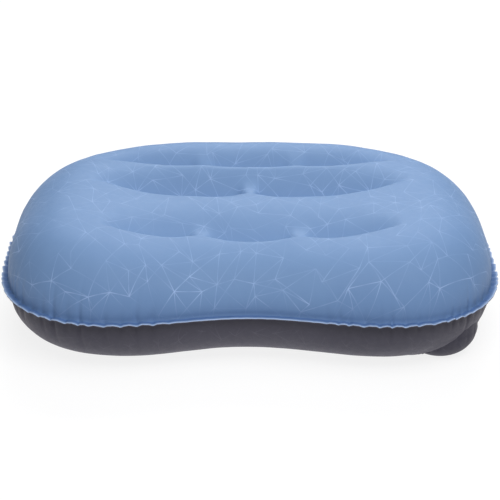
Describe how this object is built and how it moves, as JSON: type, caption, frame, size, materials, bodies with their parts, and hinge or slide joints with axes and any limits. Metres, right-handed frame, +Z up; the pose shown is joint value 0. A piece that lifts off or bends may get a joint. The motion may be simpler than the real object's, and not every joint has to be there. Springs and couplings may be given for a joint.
{
  "type": "inflatable camp pillow",
  "caption": "Inflatable camping pillow with a neck curve, welded fabric panels, internal baffles, a built-in hand pump and a capped release valve.",
  "frame": {"origin": "middle of the bounding box, on the ground that the pillow lies on", "axes": "+X along the width to the side with the pump, -Y to the neck side, +Z up to the printed side"},
  "size_m": [0.431, 0.2995, 0.1109],
  "materials": {
    "upper_fabric": "light blue coated polyester with a faint line print",
    "lower_fabric": "dark grey coated polyester",
    "film": "translucent polyurethane film",
    "foam": "open-cell foam",
    "moulding": "satin moulded polyurethane",
    "silicone": "soft silicone"
  },
  "bodies": {
    "pillow": {"upper_panel": "upper_fabric", "lower_panel": "lower_fabric", "baffle_front_left": "film", "baffle_front_middle": "film", "baffle_front_right": "film", "baffle_middle_left": "film", "baffle_middle_right": "film", "baffle_rear_left": "film", "baffle_rear_middle": "film", "baffle_rear_right": "film", "pump_base": "film", "pump_foam": "foam", "transfer_valve_body": "moulding", "release_valve_body": "moulding", "release_strap": "moulding"},
    "pump_press": {"pump_dome": "lower_fabric", "intake_valve_body": "moulding"},
    "intake_flap": {"intake_flap": "silicone"},
    "transfer_flap": {"transfer_flap": "silicone"},
    "release_cap": {"release_cap": "moulding", "release_seal": "silicone"}
  },
  "joints": [
    {"name": "pump_press_slide", "type": "slide", "parent": "pillow", "child": "pump_press", "axis": [0, 0, 1], "range_m": [0, 0.008], "stiffness_N_per_m": 400, "springref_m": -0.004, "deforming": ["pump_dome", "pump_foam"]},
    {"name": "intake_flap_hinge", "type": "hinge", "parent": "pump_press", "child": "intake_flap", "pos_m": [0.1619, -0.0815, 0.00381], "axis": [-1, 0, 0], "range_deg": [0, 35], "stiffness_Nm_per_rad": 0.0002, "springref_deg": -5.73},
    {"name": "transfer_flap_hinge", "type": "hinge", "parent": "pillow", "child": "transfer_flap", "pos_m": [0.1619, -0.0815, 0.0233], "axis": [-1, 0, 0], "range_deg": [0, 35], "stiffness_Nm_per_rad": 0.0002, "springref_deg": -5.73},
    {"name": "release_cap_hinge", "type": "hinge", "parent": "pillow", "child": "release_cap", "pos_m": [-0.1213, 0.13419, 0.03158], "axis": [0.9183, 0.396, 0], "range_deg": [0, 130], "deforming": ["release_strap"]}
  ]
}
